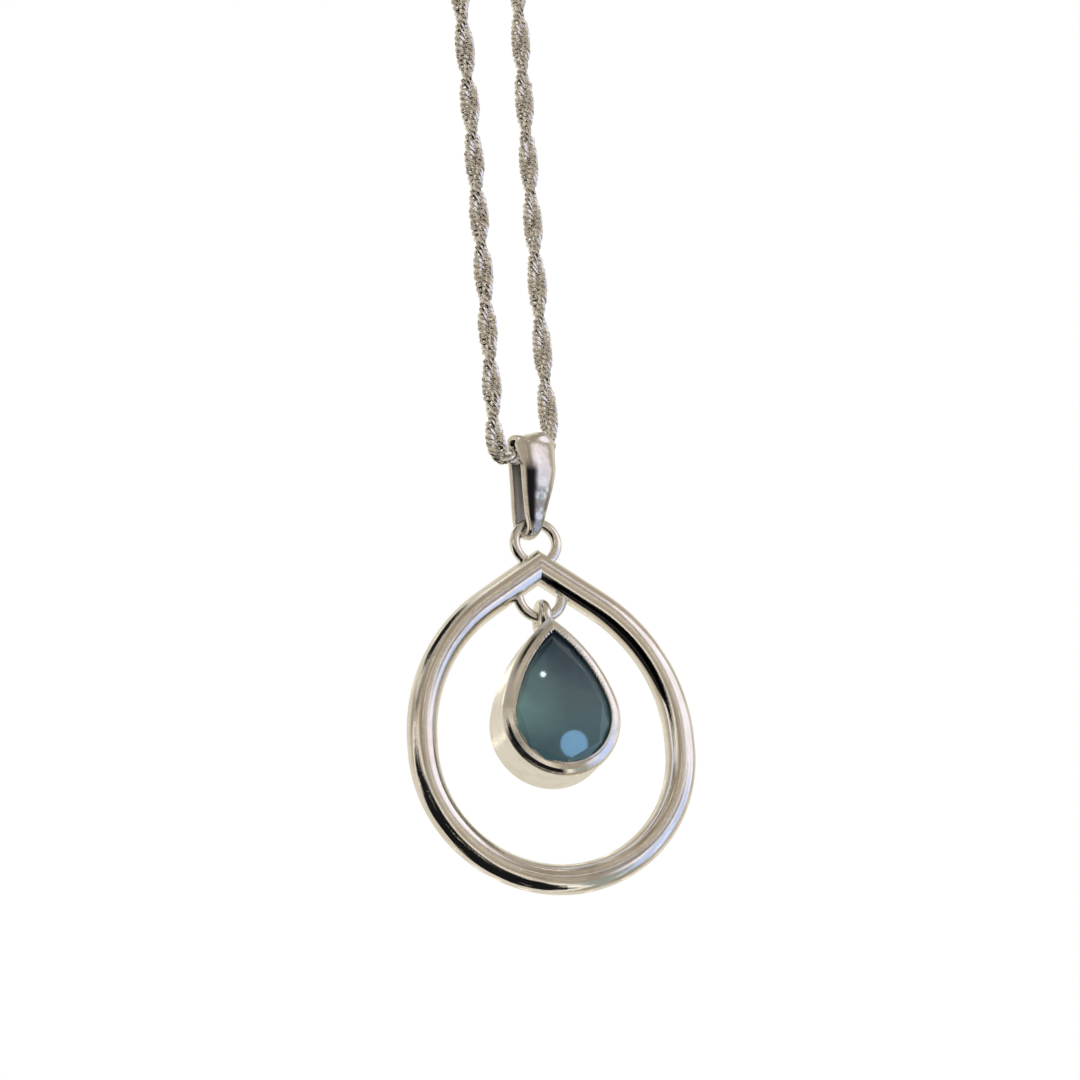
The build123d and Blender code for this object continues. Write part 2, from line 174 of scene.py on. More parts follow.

# The hoop's painted reflection, a dark band: the way it faces, its inner and outer reach in degrees, and
# its middle and reach
HOOP_PAINTED_REFLECTION_DARK = ((-0.56, -0.7, -0.45), 17, 20, (8.2 * MM, 0.0, -97.6 * MM), 9.0 * MM)
# The colour of the painted dark reflection
PAINTED_REFLECTION_DARK = (0.02, 0.02, 0.022)

# The bail's grey inside, how much rougher it is, its painted dark stripe of reflection, and the painted
# mottling of reflections as (noise, colour)
BAIL_INSIDE, BAIL_SATIN, BAIL_PAINTED_STRIPE = (0.42, 0.4, 0.37), 0.3, (0.02, 0.02, 0.025)
BAIL_PAINTED_BLOT_COLOURS = (
    (0.38, (0.03, 0.03, 0.035)), (0.47, (0.16, 0.12, 0.1)),
    (0.53, (0.14, 0.22, 0.18)), (0.6, (0.6, 0.64, 0.7)),
)

# The stone's colour by height, and the green glow in it, which grows to the left and at mid height
STONE_LOW, STONE_HIGH = APEX_Z - 18.5 * MM, APEX_Z - 7.4 * MM
STONE_COLOURS = (
    (0.0, (0.07, 0.15, 0.19)), (0.22, (0.11, 0.21, 0.25)), (0.5, (0.12, 0.19, 0.235)),
    (0.78, (0.045, 0.085, 0.125)), (1.0, (0.008, 0.025, 0.05)),
)
STONE_GLOW = (0.2, 0.4, 0.42)
GLOW_FROM, GLOW_TO = 0.5 * MM, -3.6 * MM
GLOW_HEIGHTS = ((0.1, (0, 0, 0)), (0.4, (1, 1, 1)), (0.75, (0, 0, 0)))

# Soft zones of the studio around the necklace, as (direction, inner and outer reach in degrees, colour)
BLACK, CREAM = (0.01, 0.01, 0.011), (1.1, 1.02, 0.9)
ZONES = (
    ((0.0, 1.0, 0.1), 50, 85, (0.72, 0.67, 0.56)),
    ((0.6, -0.3, -0.75), 20, 30, (0.33, 0.36, 0.33)),
    ((0.85, -0.5, 0.1), 33, 40, (1.0, 0.94, 1.0)),
    ((0.88, -0.4, -0.3), 18, 28, (0.6, 0.71, 1.02)),
    ((0.52, -0.86, -0.02), 9, 14, (0.27, 0.25, 0.25)),
    ((-0.85, -0.35, 0.36), 5, 8, BLACK),
    ((-0.78, -0.4, -0.42), 46, 50, CREAM),
    ((-0.35, -0.2, -0.9), 45, 49, CREAM),
    ((-0.78, -0.4, -0.42), 40, 44, BLACK),
    ((-0.35, -0.2, -0.9), 39, 43, BLACK),
    ((-0.5, -0.02, 0.86), 21, 25, (0.8, 0.76, 0.68)),
    ((-0.5, -0.02, 0.86), 16, 20, BLACK),
)
# The room behind the zones: its colour, how the noise brightens it, and how far noise bends the zones
STUDIO_BASE = (0.36, 0.31, 0.245)
STUDIO_TONES = ((0.3, 0.5), (0.48, 1.0), (0.58, 1.25), (0.68, 2.4))
STUDIO_BEND = 0.3
SPOT_COLOUR, SPOT_EDGE, SPOT_FULL = (3.0, 2.75, 2.3), 0.15, 0.11

# Lamps that show as highlights in the stone: name, place, size, watts and colour
LAMP_AIM = Vector((0.0, -3.4, -107.0)) * MM
LAMPS = (
    ("round_lamp", Vector((85.0, -281.0, -32.9)) * MM, 4.4 * MM, 0.00048, (0.27, 0.6, 1.0)),
    ("small_lamp", Vector((80.5, -280.1, -21.4)) * MM, 0.9 * MM, 0.00006, (0.8, 0.95, 1.0)),
)
FLOOR_Z, FLOOR_R, FLOOR_SIDES = -0.26, 0.7, 96
FLOOR_GLOW, FLOOR_GLOW_COLOUR = 0.3, (1, 0.98, 0.95, 1)


# ---------------------------------------------------------------- camera

def add_camera():
    """A long lens at the photograph's angle, rolled with the phone."""
    out = Vector((
        sin(CAMERA_AZIMUTH) * cos(CAMERA_ELEVATION),
        -cos(CAMERA_AZIMUTH) * cos(CAMERA_ELEVATION),
        sin(CAMERA_ELEVATION),
    ))
    data = bpy.data.cameras.new("camera")
    data.sensor_width = SENSOR
    data.lens = SENSOR * CAMERA_DISTANCE / VIEW_WIDTH
    data.clip_start = 0.01
    camera = bpy.data.objects.new("camera", data)
    bpy.context.scene.collection.objects.link(camera)
    upright = out.to_track_quat("Z", "Y").to_matrix().to_4x4()
    roll = Matrix.Rotation(CAMERA_ROLL, 4, "Z")
    camera.matrix_world = Matrix.Translation(LOOK_AT + out * CAMERA_DISTANCE) @ upright @ roll
    bpy.context.scene.camera = camera


# ---------------------------------------------------------------- small helpers

def new_mesh(name, points, faces, smooth=True):
    """A mesh object from points and faces, linked to the scene."""
    mesh = bpy.data.meshes.new(name)
    mesh.from_pydata([tuple(p) for p in points], [], [tuple(f) for f in faces])
    mesh.polygons.foreach_set("use_smooth", [smooth] * len(mesh.polygons))
    mesh.update()
    piece = bpy.data.objects.new(name, mesh)
    bpy.context.scene.collection.objects.link(piece)
    return piece


def shader(name):
    """A node material, and its tree and main shader."""
    material = bpy.data.materials.new(name)
    material.use_nodes = True
    tree = material.node_tree
    return material, tree, tree.nodes["Principled BSDF"]


def node(tree, kind, **inputs):
    """A node of that kind, its named inputs (spaces as underscores) set to values or linked to sockets."""
    made = tree.nodes.new(kind)
    for key, value in inputs.items():
        entry = made.inputs[key.replace("_", " ")]
        if isinstance(value, bpy.types.NodeSocket):
            tree.links.new(value, entry)
        else:
            entry.default_value = value
    return made


def object_place(tree):
    """Where a point of the surface is, in the object's own coordinates."""
    return tree.nodes.new("ShaderNodeTexCoord").outputs["Object"]


def worked_out(tree, operation, first, second):
    """One operation on the numbers of two sockets, such as ADD or MULTIPLY."""
    made = tree.nodes.new("ShaderNodeMath")
    made.operation = operation
    tree.links.new(first, made.inputs[0])
    tree.links.new(second, made.inputs[1])
    return made.outputs["Value"]


def ramp(tree, source, stops):
    """A colour ramp from a value, with (position, colour) stops."""
    made = tree.nodes.new("ShaderNodeValToRGB")
    while len(made.color_ramp.elements) < len(stops):
        made.color_ramp.elements.new(0.5)
    for element, (position, colour) in zip(made.color_ramp.elements, stops):
        element.position = position
        element.color = (*colour, 1)
    tree.links.new(source, made.inputs["Fac"])
    return made.outputs["Color"]


def mixed(tree, factor, below, above):
    """Mix two colours; above may be a colour or a socket."""
    mix = tree.nodes.new("ShaderNodeMix")
    mix.data_type = "RGBA"
    tree.links.new(factor, mix.inputs["Factor"])
    tree.links.new(below, mix.inputs["A"])
    if isinstance(above, tuple):
        mix.inputs["B"].default_value = (*above, 1)
    else:
        tree.links.new(above, mix.inputs["B"])
    return mix.outputs["Result"]


def within(tree, way, aim, inner, outer):
    """How far a direction lies inside a soft round zone about aim: 1 inside, 0 outside."""
    dot = tree.nodes.new("ShaderNodeVectorMath")
    dot.operation = "DOT_PRODUCT"
    tree.links.new(way, dot.inputs[0])
    dot.inputs[1].default_value = Vector(aim).normalized()
    edge = node(
        tree, "ShaderNodeMapRange", Value=dot.outputs["Value"],
        From_Min=cos(radians(outer)), From_Max=cos(radians(inner)),
    )
    edge.interpolation_type = "SMOOTHSTEP"
    return edge.outputs["Result"]


# ---------------------------------------------------------------- the chain

def turned(u, n, z):
    """Where a place given in the chain's coordinates is in the frame."""
    return U * u + N * n + Vector((0, 0, z))


def leg_points(side):
    """From the middle of the bail up to the hank."""
    top = LEG_ROUTE[-1][2]
    shift = Vector((BAIL_X, 0, 0)) + U * CHAIN_SLIP
    return [
        turned(side * u * MM, side * n * MM, CHAIN_IN_BAIL + z * MM) + shift * (1 - z / top)
        for u, n, z in LEG_STARTS[side] + LEG_ROUTE
    ]


def fold(centre_z, start, stop, step=30):
    """Places round one fold of the hank, as (u, z), between two angles up from the u direction."""
    angles = range(start, stop, step)
    return [(FOLD_R * cos(radians(a)), centre_z + FOLD_R * sin(radians(a))) for a in angles]


def hank_points(side):
    """One strand's turns round the hook: up and over, down, round the lower fold and up again."""
    rise = [(HANK_HALF, z * MM) for z in HANK_HEIGHTS]
    fall = [(-HANK_HALF, z * MM) for z in (*reversed(HANK_HEIGHTS), HANK_LOW)]
    back = [(HANK_HALF, z * MM) for z in (HANK_LOW, *HANK_HEIGHTS)]
    turn = rise + fold(0, 15, 180) + fall + fold(-HANK_RUN, 195, 360) + back + [HANK_OUT]
    first, last = HANK_DEPTHS
    share = [k / (len(turn) - 1) for k in range(len(turn))]
    return [
        turned(side * u, side * (first + (last - first) * t), z)
        for t, (u, z) in zip(share, turn)
    ]


def tail_points(side):
    """From the hank down to the strand's last link."""
    return [turned(side * u * MM, side * n * MM, z * MM) for u, n, z in TAIL_ROUTE]


def smooth_line(points):
    """Points along the NURBS curve that has the route's points as its control points."""
    curve = bpy.data.curves.new("route", "CURVE")
    curve.dimensions = "3D"
    spline = curve.splines.new("NURBS")
    spline.points.add(len(points) - 1)
    for place, point in zip(spline.points, points):
        place.co = (*point, 1)
    spline.order_u = 3
    spline.use_endpoint_u = True
    spline.resolution_u = 12
    bare = bpy.data.objects.new("route", curve)
    mesh = bpy.data.meshes.new_from_object(bare)
    line = np.array([v.co for v in mesh.vertices])
    bpy.data.objects.remove(bare)
    bpy.data.curves.remove(curve)
    bpy.data.meshes.remove(mesh)
    return line


def along(line, places):
    """Points on a line at given distances from its start, and the line's direction at each."""
    steps = np.linalg.norm(np.diff(line, axis=0), axis=1)
    distance = np.concatenate([[0], np.cumsum(steps)])

    def at(s):
        return np.stack([np.interp(s, distance, line[:, k]) for k in range(3)], axis=1)

    ahead = np.minimum(places + HEADING_REACH, distance[-1])
    behind = np.maximum(places - HEADING_REACH, 0)
    heading = at(ahead) - at(behind)
    return at(places), heading / np.linalg.norm(heading, axis=1)[:, None]


def length_of(line):
    """A line's length."""
    return float(np.linalg.norm(np.diff(line, axis=0), axis=1).sum())


def carried_sides(headings, start):
    """A sideways direction at each point, carried along the line without any twist of its own."""
    side = start - headings[0] * start.dot(headings[0])
    sides = []
    for heading in headings:
        side = side - heading * side.dot(heading)
        side = side / np.linalg.norm(side)
        sides.append(side)
    return np.array(sides)


def link_shape():
    """One curb link lying flat: an oval of wire whose ends cross their neighbours, its faces cut flat."""
    points = []
    for i in range(LINK_STEPS):
        t = 2 * pi * i / LINK_STEPS
        centre = np.array([LINK_LONG * cos(t), LINK_WIDE * sin(t), LINK_CROSS * sin(2 * t)])
        ahead = np.array([-LINK_LONG * sin(t), LINK_WIDE * cos(t), 2 * LINK_CROSS * cos(2 * t)])
        ahead /= np.linalg.norm(ahead)
        out = np.cross(ahead, [0, 0, 1])
        out /= np.linalg.norm(out)
        up = np.cross(out, ahead)
        for j in range(WIRE_STEPS):
            a = 2 * pi * (j + 0.5) / WIRE_STEPS
            point = centre + LINK_WIRE * (out * cos(a) + up * sin(a))
            point[2] = np.clip(point[2], -LINK_CUT, LINK_CUT)
            points.append(point)
    faces = []
    for i in range(LINK_STEPS):
        for j in range(WIRE_STEPS):
            a, b = i * WIRE_STEPS + j, i * WIRE_STEPS + (j + 1) % WIRE_STEPS
            c, d = ((i + 1) % LINK_STEPS) * WIRE_STEPS, (j + 1) % WIRE_STEPS
            faces.append((a, b, c + d, c + j))
    return np.array(points), np.array(faces)


def chain_strand(name, side, half_turn, phase):
    """All the links of one strand, along its route, the ribbon twisted half a turn every half_turn."""
    line = smooth_line(leg_points(side) + hank_points(side) + tail_points(side))
    count = int(length_of(line) / LINK_PITCH)
    places = (np.arange(count) + 0.5) * length_of(line) / count
    centres, headings = along(line, places)
    sides = carried_sides(headings, np.array(N * side))
    normals = np.cross(headings, sides)
    twist = pi * places / half_turn + phase
    across = sides * np.cos(twist)[:, None] + normals * np.sin(twist)[:, None]
    through = np.cross(headings, across)
    shape, faces = link_shape()
    draws = np.random.default_rng(4 + side)
    points = np.empty((count, len(shape), 3))
    for k in range(count):
        tilt = draws.normal(0, LINK_TILT)
        pitch = draws.normal(0, LINK_TILT)
        a = across[k] * cos(tilt) + through[k] * sin(tilt)
        t = np.cross(headings[k], a)
        h = headings[k] * cos(pitch) + t * sin(pitch)
        points[k] = centres[k] + shape @ np.array([h, a, np.cross(h, a)])
    all_faces = (np.arange(count)[:, None, None] * len(shape) + faces[None]).reshape(-1, 4)
    return new_mesh(name, points.reshape(-1, 3), all_faces, smooth=False), line


# ---------------------------------------------------------------- the bail

def bail_outline():
    """The bail's outside seen along its bore, as evenly spaced (n, height), and the way out at each."""
    ways = [(cos(radians(a)), sin(radians(a))) for a in range(360)]
    outline = []
    for across, up in ways:
        n, z, r = max(BAIL_FORMS, key=lambda f: f[0] * across + f[1] * up + f[2])
        outline.append((n + r * across, z + r * up))
    outline.append(outline[0])
    outline = np.array(outline)
    run = np.concatenate([[0], np.cumsum(np.linalg.norm(np.diff(outline, axis=0), axis=1))])
    places = np.arange(BAIL_STATIONS) * run[-1] / BAIL_STATIONS
    even = np.stack([np.interp(places, run, outline[:, k]) for k in range(2)], axis=1)
    for _ in range(BAIL_SMOOTHING):
        even = (np.roll(even, 1, axis=0) + 2 * even + np.roll(even, -1, axis=0)) / 4
    ahead = np.roll(even, -1, axis=0) - np.roll(even, 1, axis=0)
    ahead /= np.linalg.norm(ahead, axis=1)[:, None]
    return even, np.stack([ahead[:, 1], -ahead[:, 0]], axis=1)


def bail_section(half, top):
    """Round the strip's cross-section, as (across, outward) in mm; top is 1 over the chain, else 0."""
    drop = BAIL_CROWN * (half / BAIL_CROWN_HALF) * (1 - BAIL_TOP_FLATTER * top)

    def crown(x):
        w = x / half
        crest = sum(h * np.exp(-(((w - at) / spread) ** 2)) for at, spread, h in (BAIL_CREST, BAIL_GROOVE))
        return crest * top - drop * abs(w) ** 3

    flat = half - BAIL_EDGE_R
    outer = [(x, crown(x)) for x in np.linspace(-flat, flat, BAIL_ACROSS)]
    inner = [(x, y - BAIL_STRIP) for x, y in reversed(outer)]
    corner = [(flat + BAIL_EDGE_R * sin(a), BAIL_EDGE_R * (cos(a) - 1)) for a in BAIL_CORNER]
    corner += [(x, -BAIL_STRIP - y) for x, y in reversed(corner)]
    right = [(x, outer[-1][1] + y) for x, y in corner]
    left = [(-x, outer[0][1] + y) for x, y in reversed(corner)]
    return outer + right + inner + left


def add_bail():
    """The bail: one strip bent to a loop, crowned across, its crest and groove over the chain."""
    outline, outward = bail_outline()
    heights, halves, shifts = np.array(BAIL_WIDTHS).T
    points, faces = [], []
    masks = {"inside": [], "painted_blots": [], "painted_stripe": []}
    inner_from = BAIL_ACROSS + 2 * len(BAIL_CORNER)
    middle = Vector((BAIL_X, 0, APEX_Z))
    for (n, z), (out_n, out_z) in zip(outline, outward):
        half, shift = np.interp(z, heights, halves), np.interp(z, heights, shifts)
        top = np.clip((out_z - BAIL_TOP_FROM) / (BAIL_TOP_FULL - BAIL_TOP_FROM), 0.0, 1.0)
        section = bail_section(half, top * top * (3 - 2 * top))
        painted_blots = np.interp(z, *np.array(BAIL_PAINTED_BLOTS).T)
        striped = np.interp(z, *np.array(BAIL_PAINTED_STRIPE_HEIGHTS).T)
        for k, (x, y) in enumerate(section):
            place = turned((shift + x) * MM, (n + out_n * y) * MM, (z + out_z * y) * MM)
            points.append(place + middle)
            # The front's painted reflections: mottling, and a dark stripe down its left side
            front = out_n > 0 and 1 <= k < BAIL_ACROSS
            masks["inside"].append(float(inner_from <= k < inner_from + BAIL_ACROSS))
            masks["painted_blots"].append(front * painted_blots)
            masks["painted_stripe"].append(front * striped * np.interp(x / half, *np.array(BAIL_PAINTED_STRIPE_ACROSS).T))
    ring = len(section)
    for i in range(BAIL_STATIONS):
        after = (i + 1) % BAIL_STATIONS
        for k in range(ring):
            beside = (k + 1) % ring
            faces.append((i * ring + k, i * ring + beside, after * ring + beside, after * ring + k))
    piece = new_mesh("bail_strip", points, faces)
    for mask, values in masks.items():
        piece.data.attributes.new(mask, "FLOAT", "POINT").data.foreach_set("value", values)
    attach(piece, "bail")
    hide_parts("bail")
    return piece


# ---------------------------------------------------------------- the stone

def pear_arc_centre():
    """The centre of the pear's right-hand side arc."""
    reach = STONE_ARC_R - STONE_R
    return -reach * cos(STONE_TURN), -reach * sin(STONE_TURN)


def pear_tip(offset=0.0):
    """How far the pear's point is above the centre of its round end, offset outwards."""
    x, y = pear_arc_centre()
    return y + sqrt((STONE_ARC_R + offset) ** 2 - x**2)


def pear_point(share, offset=0.0):
    """A point on the pear's outline, share running from 0 at the bottom, by the right, to 1."""
    if share > 0.5:
        x, y = pear_point(1 - share, offset)
        return -x, y
    x, y = pear_arc_centre()
    end_r, side_r = STONE_R + offset, STONE_ARC_R + offset
    tip_angle = atan2(pear_tip(offset) - y, -x)
    round_part = end_r * (pi / 2 + STONE_TURN)
    side_part = side_r * (tip_angle - STONE_TURN)
    run = 2 * share * (round_part + side_part)
    if run < round_part:
        a = run / end_r
        return end_r * sin(a), -end_r * cos(a)
    a = STONE_TURN + (run - round_part) / side_r
    return x + side_r * cos(a), y + side_r * sin(a)


def drop_matrix():
    """Where the drop's own plane stands in the frame."""
    hang = Matrix.Translation((0, 0, DROP_PIVOT_Z)) @ Matrix.Rotation(-DROP_LEAN, 4, "Y")
    down = Matrix.Translation((0, 0, -POINT_BELOW_PIVOT - pear_tip(BEZEL_WALL)))
    return hang @ down @ Matrix.Rotation(pi / 2, 4, "X")


def add_stone():
    """A pear brilliant: a wide table, star, kite and girdle facets, and a keeled pavilion."""
    middle = (pear_tip() - STONE_R) / 2
    mains, each = STONE_MAINS, STONE_EACH
    rim = each * mains

    def ring(count, share, z, shift=0.0, slide=0.0):
        """Corners on a smaller pear, its corners moved on by shift and the whole ring slid sideways."""
        out = []
        for k in range(count):
            x, y = pear_point(((k + shift) / count) % 1.0)
            x, y = x * share, middle + (y - middle) * share
            out.append((x - TABLE_SLIDE[0] * slide, y - TABLE_SLIDE[1] * slide, z))
        return out

    star_z = GIRDLE_FRONT + (TABLE_FRONT - GIRDLE_FRONT) * STAR_HEIGHT
    table = ring(mains, TABLE_SHARE, TABLE_FRONT, slide=1)
    star = ring(mains, STAR_SHARE, star_z, 0.5, slide=STAR_SLIDE)
    front = ring(rim, 1, GIRDLE_FRONT)
    back = ring(rim, 1, GIRDLE_BACK)
    lower = ring(mains, LOWER_SHARE, GIRDLE_BACK * LOWER_HEIGHT, 0.5)
    culet = [(0, middle, -CULET_BACK)]
    points = table + star + front + back + lower + culet
    s0, f0 = mains, 2 * mains
    b0, l0 = f0 + rim, f0 + 2 * rim
    c0 = l0 + mains
    faces = [tuple(range(mains))]
    for k in range(mains):
        after = (k + 1) % mains
        corner = f0 + (each * k) % rim
        faces.append((s0 + k, after, k))
        faces.append((k, s0 + (k - 1) % mains, corner, s0 + k))
        for j in range(each):
            faces.append((s0 + k, f0 + (each * k + j) % rim, f0 + (each * k + j + 1) % rim))
        for j in range(each):
            a, b = b0 + (each * k + j) % rim, b0 + (each * k + j + 1) % rim
            faces.append((l0 + k, b, a))
        faces.append((l0 + (k - 1) % mains, l0 + k, b0 + (each * k) % rim))
        faces.append((l0 + (k - 1) % mains, c0, l0 + k))
    for j in range(rim):
        after = (j + 1) % rim
        faces.append((f0 + j, b0 + j, b0 + after, f0 + after))
    piece = new_mesh("stone_faceted", points, faces, smooth=False)
    mesh = bmesh.new()
    mesh.from_mesh(piece.data)
    bmesh.ops.recalc_face_normals(mesh, faces=mesh.faces)
    mesh.to_mesh(piece.data)
    mesh.free()
    piece.data.transform(drop_matrix())
    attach(piece, "drop")
    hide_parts("stone")
    return piece


def add_rim():
    """The burnished edge of the bezel against the stone: a fine line of uneven tool marks."""
    draws = np.random.default_rng(11)
    marks = draws.uniform(*RIM_MARK_RANGE, RIM_MARKS)
    steps = RIM_MARKS * RIM_STEPS
    top = pear_tip()
    points, faces = [], []
    for i in range(steps):
        x, y = pear_point(i / steps, RIM_OFFSET)
        ahead = pear_point((i + 0.5) / steps % 1.0, RIM_OFFSET)
        out = Vector((ahead[1] - y, x - ahead[0])).normalized()
        upper = min(1.0, max(0.0, (y + STONE_R) / (top + STONE_R) + RIM_LOW))
        mark = marks[i // RIM_STEPS] * abs(sin(pi * i / RIM_STEPS)) * upper**2
        r = RIM_R * (RIM_PLAIN + mark)
        for j in range(RIM_SIDES):
            a = 2 * pi * j / RIM_SIDES
            points.append((x + out.x * r * cos(a), y + out.y * r * cos(a), RIM_FRONT + r * sin(a)))
    for i in range(steps):
        after = (i + 1) % steps
        for j in range(RIM_SIDES):
            k = (j + 1) % RIM_SIDES
            here, there = i * RIM_SIDES, after * RIM_SIDES
            faces.append((here + j, there + j, there + k, here + k))
    piece = new_mesh("bezel_rim", points, faces)
    piece.data.transform(drop_matrix())
    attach(piece, "drop")
    return piece


# ---------------------------------------------------------------- the hank's ribbon

def add_ribbon():
    """A narrow cotton ribbon wound once and a bit around the hank, its end lying over its start."""
    points, faces = [], []
    for i in range(TIE_STEPS + 1):
        a = 2 * pi * TIE_TURNS * i / TIE_STEPS + TIE_START
        lift = TIE_LIFT * i / TIE_STEPS
        c, s = cos(a), sin(a)
        squared = (abs(c) ** TIE_SQUARE + abs(s) ** TIE_SQUARE) ** (-1 / TIE_SQUARE)
        u, n = (TIE_HALF_U + lift) * c * squared, (TIE_HALF_N + lift) * s * squared
        rise = TIE_TILT * sin(a + TIE_TILT_START)
        for j in range(TIE_ROWS + 1):
            across = j / TIE_ROWS - 0.5
            ripple = TIE_RIPPLE * sin(TIE_WAVES_ROUND * a + TIE_WAVES_ACROSS * across)
            grow = 1 + (ripple + TIE_CURL * (0.25 - across**2)) / TIE_HALF_N
            points.append(turned(u * grow, n * grow, TIE_Z + rise + across * TIE_WIDTH))
    for i in range(TIE_STEPS):
        for j in range(TIE_ROWS):
            a = i * (TIE_ROWS + 1) + j
            faces.append((a, a + TIE_ROWS + 1, a + TIE_ROWS + 2, a + 1))
    piece = new_mesh("hank_ribbon", points, faces)
    body = piece.modifiers.new("thickness", "SOLIDIFY")
    body.thickness = TIE_CLOTH
    body.offset = 0
    soft = piece.modifiers.new("soft", "SUBSURF")
    soft.levels = soft.render_levels = 1
    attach(piece, "chain")
    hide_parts("hank_tie")
    return piece


# ---------------------------------------------------------------- materials

def metal(name, colour, dark, rough, scratch, scale):
    """Polished metal: faint tarnish in patches, uneven polish and hairline scratches."""
    material, tree, main = shader(name)
    main.inputs["Metallic"].default_value = 1.0
    place = object_place(tree)
    patches = node(tree, "ShaderNodeTexNoise", Vector=place, Scale=scale, Detail=4.0, Roughness=0.55)
    tint = ramp(tree, patches.outputs["Fac"], ((0.3, dark), (0.55, colour)))
    tree.links.new(tint, main.inputs["Base Color"])
    gloss = node(
        tree, "ShaderNodeMapRange", Value=patches.outputs["Fac"],
        From_Min=0.3, From_Max=0.75, To_Min=rough, To_Max=rough * 2.2,
    )
    tree.links.new(gloss.outputs["Result"], main.inputs["Roughness"])
    stretch = node(
        tree, "ShaderNodeMapping", Vector=place, Scale=(1.0, 1.0, 14.0), Rotation=(0.5, 0.35, 0.2),
    )
    hairs = node(
        tree, "ShaderNodeTexNoise", Vector=stretch.outputs["Vector"],
        Scale=scale * 2.5, Detail=6.0, Roughness=0.7,
    )
    waves = node(tree, "ShaderNodeTexNoise", Vector=place, Scale=scale * 0.9, Detail=1.0)
    broad = node(tree, "ShaderNodeBump", Height=waves.outputs["Fac"], Strength=0.25, Distance=0.1 * MM)
    fine = node(
        tree, "ShaderNodeBump", Height=hairs.outputs["Fac"], Normal=broad.outputs["Normal"],
        Strength=scratch, Distance=0.02 * MM,
    )
    tree.links.new(fine.outputs["Normal"], main.inputs["Normal"])
    return material


def covered(material, share, shade):
    """Lay a colour over a material's own colour, where share is 1."""
    tree = material.node_tree
    base = tree.nodes["Principled BSDF"].inputs["Base Color"]
    tree.links.new(mixed(tree, share, base.links[0].from_socket, shade), base)


def painted_reflection_band(material, aim, inner, outer, centre, reach):
    """Paint a dark reflection on the sides of a piece that face one way, near one place."""
    tree = material.node_tree
    place = tree.nodes.new("ShaderNodeTexCoord")
    facing = within(tree, place.outputs["Normal"], aim, inner, outer)
    away = tree.nodes.new("ShaderNodeVectorMath")
    away.operation = "DISTANCE"
    tree.links.new(place.outputs["Object"], away.inputs[0])
    away.inputs[1].default_value = centre
    near = node(
        tree, "ShaderNodeMapRange", Value=away.outputs["Value"], From_Min=reach, From_Max=0.85 * reach,
    )
    covered(material, worked_out(tree, "MULTIPLY", facing, near.outputs["Result"]), PAINTED_REFLECTION_DARK)


def finish_bail_with_painted_reflections(material):
    """Satin grey inside the bail's loop, and painted reflections on the front: mottling, and a dark stripe
    down its left side.
    """
    tree = material.node_tree
    rough = tree.nodes["Principled BSDF"].inputs["Roughness"]
    noise = node(tree, "ShaderNodeTexNoise", Vector=object_place(tree), Scale=800.0, Detail=3.0)
    painted_blot_colours = ramp(tree, noise.outputs["Fac"], BAIL_PAINTED_BLOT_COLOURS)
    for mask, shade in (("inside", BAIL_INSIDE), ("painted_blots", painted_blot_colours), ("painted_stripe", BAIL_PAINTED_STRIPE)):
        share = tree.nodes.new("ShaderNodeAttribute")
        share.attribute_name = mask
        covered(material, share.outputs["Fac"], shade)
        if mask == "inside":
            satin = node(tree, "ShaderNodeMapRange", Value=share.outputs["Fac"], To_Max=BAIL_SATIN)
            total = worked_out(tree, "ADD", rough.links[0].from_socket, satin.outputs["Result"])
            tree.links.new(total, rough)


def stone_material():
    """Milky blue-grey stone: darker to its point, greener at the left, with a cloudy inside."""
    material, tree, main = shader("stone_milky")
    main.inputs["Roughness"].default_value = 0.015
    main.inputs["IOR"].default_value = 1.48
    place = object_place(tree)
    split = node(tree, "ShaderNodeSeparateXYZ", Vector=place)
    cloud = node(tree, "ShaderNodeTexNoise", Vector=place, Scale=300.0, Detail=3.0)
    drift = node(
        tree, "ShaderNodeMapRange", Value=cloud.outputs["Fac"],
        From_Min=0.3, From_Max=0.7, To_Min=-0.8 * MM, To_Max=0.8 * MM,
    )
    height = worked_out(tree, "ADD", split.outputs["Z"], drift.outputs["Result"])
    up = node(tree, "ShaderNodeMapRange", Value=height, From_Min=STONE_LOW, From_Max=STONE_HIGH)
    body = ramp(tree, up.outputs["Result"], STONE_COLOURS)
    left = node(
        tree, "ShaderNodeMapRange", Value=split.outputs["X"], From_Min=GLOW_FROM, From_Max=GLOW_TO,
    )
    level = ramp(tree, up.outputs["Result"], GLOW_HEIGHTS)
    share = worked_out(tree, "MULTIPLY", left.outputs["Result"], level)
    tree.links.new(mixed(tree, share, body, STONE_GLOW), main.inputs["Base Color"])
    return material


def ribbon_material():
    """Cotton ribbon: a fine over-and-under weave."""
    material, tree, main = shader("ribbon_cotton")
    main.inputs["Roughness"].default_value = 0.85
    main.inputs["Sheen Weight"].default_value = 0.3
    place = object_place(tree)
    threads = []
    for direction in ("Z", "DIAGONAL"):
        wave = node(tree, "ShaderNodeTexWave", Vector=place, Scale=1400.0, Distortion=0.6, Detail=2.0)
        wave.bands_direction = direction
        threads.append(wave.outputs["Fac"])
    weave = worked_out(tree, "MULTIPLY", *threads)
    tint = ramp(tree, weave, ((0.0, (0.62, 0.6, 0.56)), (0.7, (0.84, 0.82, 0.78))))
    tree.links.new(tint, main.inputs["Base Color"])
    bump = node(tree, "ShaderNodeBump", Height=weave, Strength=0.5, Distance=0.05 * MM)
    tree.links.new(bump.outputs["Normal"], main.inputs["Normal"])
    return material


